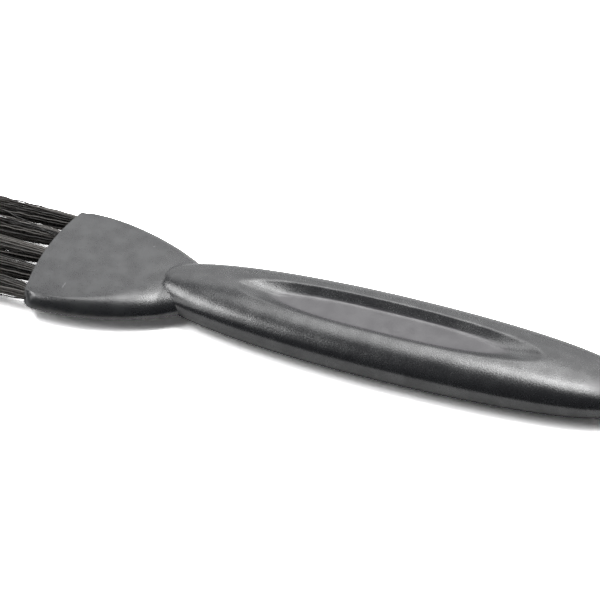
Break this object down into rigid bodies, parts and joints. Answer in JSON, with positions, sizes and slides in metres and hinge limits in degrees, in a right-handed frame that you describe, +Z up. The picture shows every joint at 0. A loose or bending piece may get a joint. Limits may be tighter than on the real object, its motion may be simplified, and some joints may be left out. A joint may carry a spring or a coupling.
{
  "type": "shaver cleaning brush",
  "caption": "Small shaver cleaning brush: a spindle handle with a thumb recess, moulded in one with a fan-shaped head that carries a single row of black bristle tufts.",
  "frame": {"origin": "on the resting surface, halfway along the brush from bristle tips to tail and on its plane of symmetry", "axes": "+X along the handle towards its tail, with the bristles pointing along -X; +Y across the row of tufts; +Z up, out of the thumb recess"},
  "size_m": [0.0926, 0.021, 0.0056],
  "materials": {
    "moulding": "charcoal plastic with a fine matte grain",
    "bristle": "black semi-gloss filament",
    "anchor_wire": "plain drawn wire"
  },
  "bodies": {
    "root": {"brush_body": "moulding", "tuft_1": "bristle", "tuft_2": "bristle", "tuft_3": "bristle", "tuft_4": "bristle", "tuft_5": "bristle", "anchor_1": "anchor_wire", "anchor_2": "anchor_wire", "anchor_3": "anchor_wire", "anchor_4": "anchor_wire", "anchor_5": "anchor_wire"}
  },
  "joints": []
}
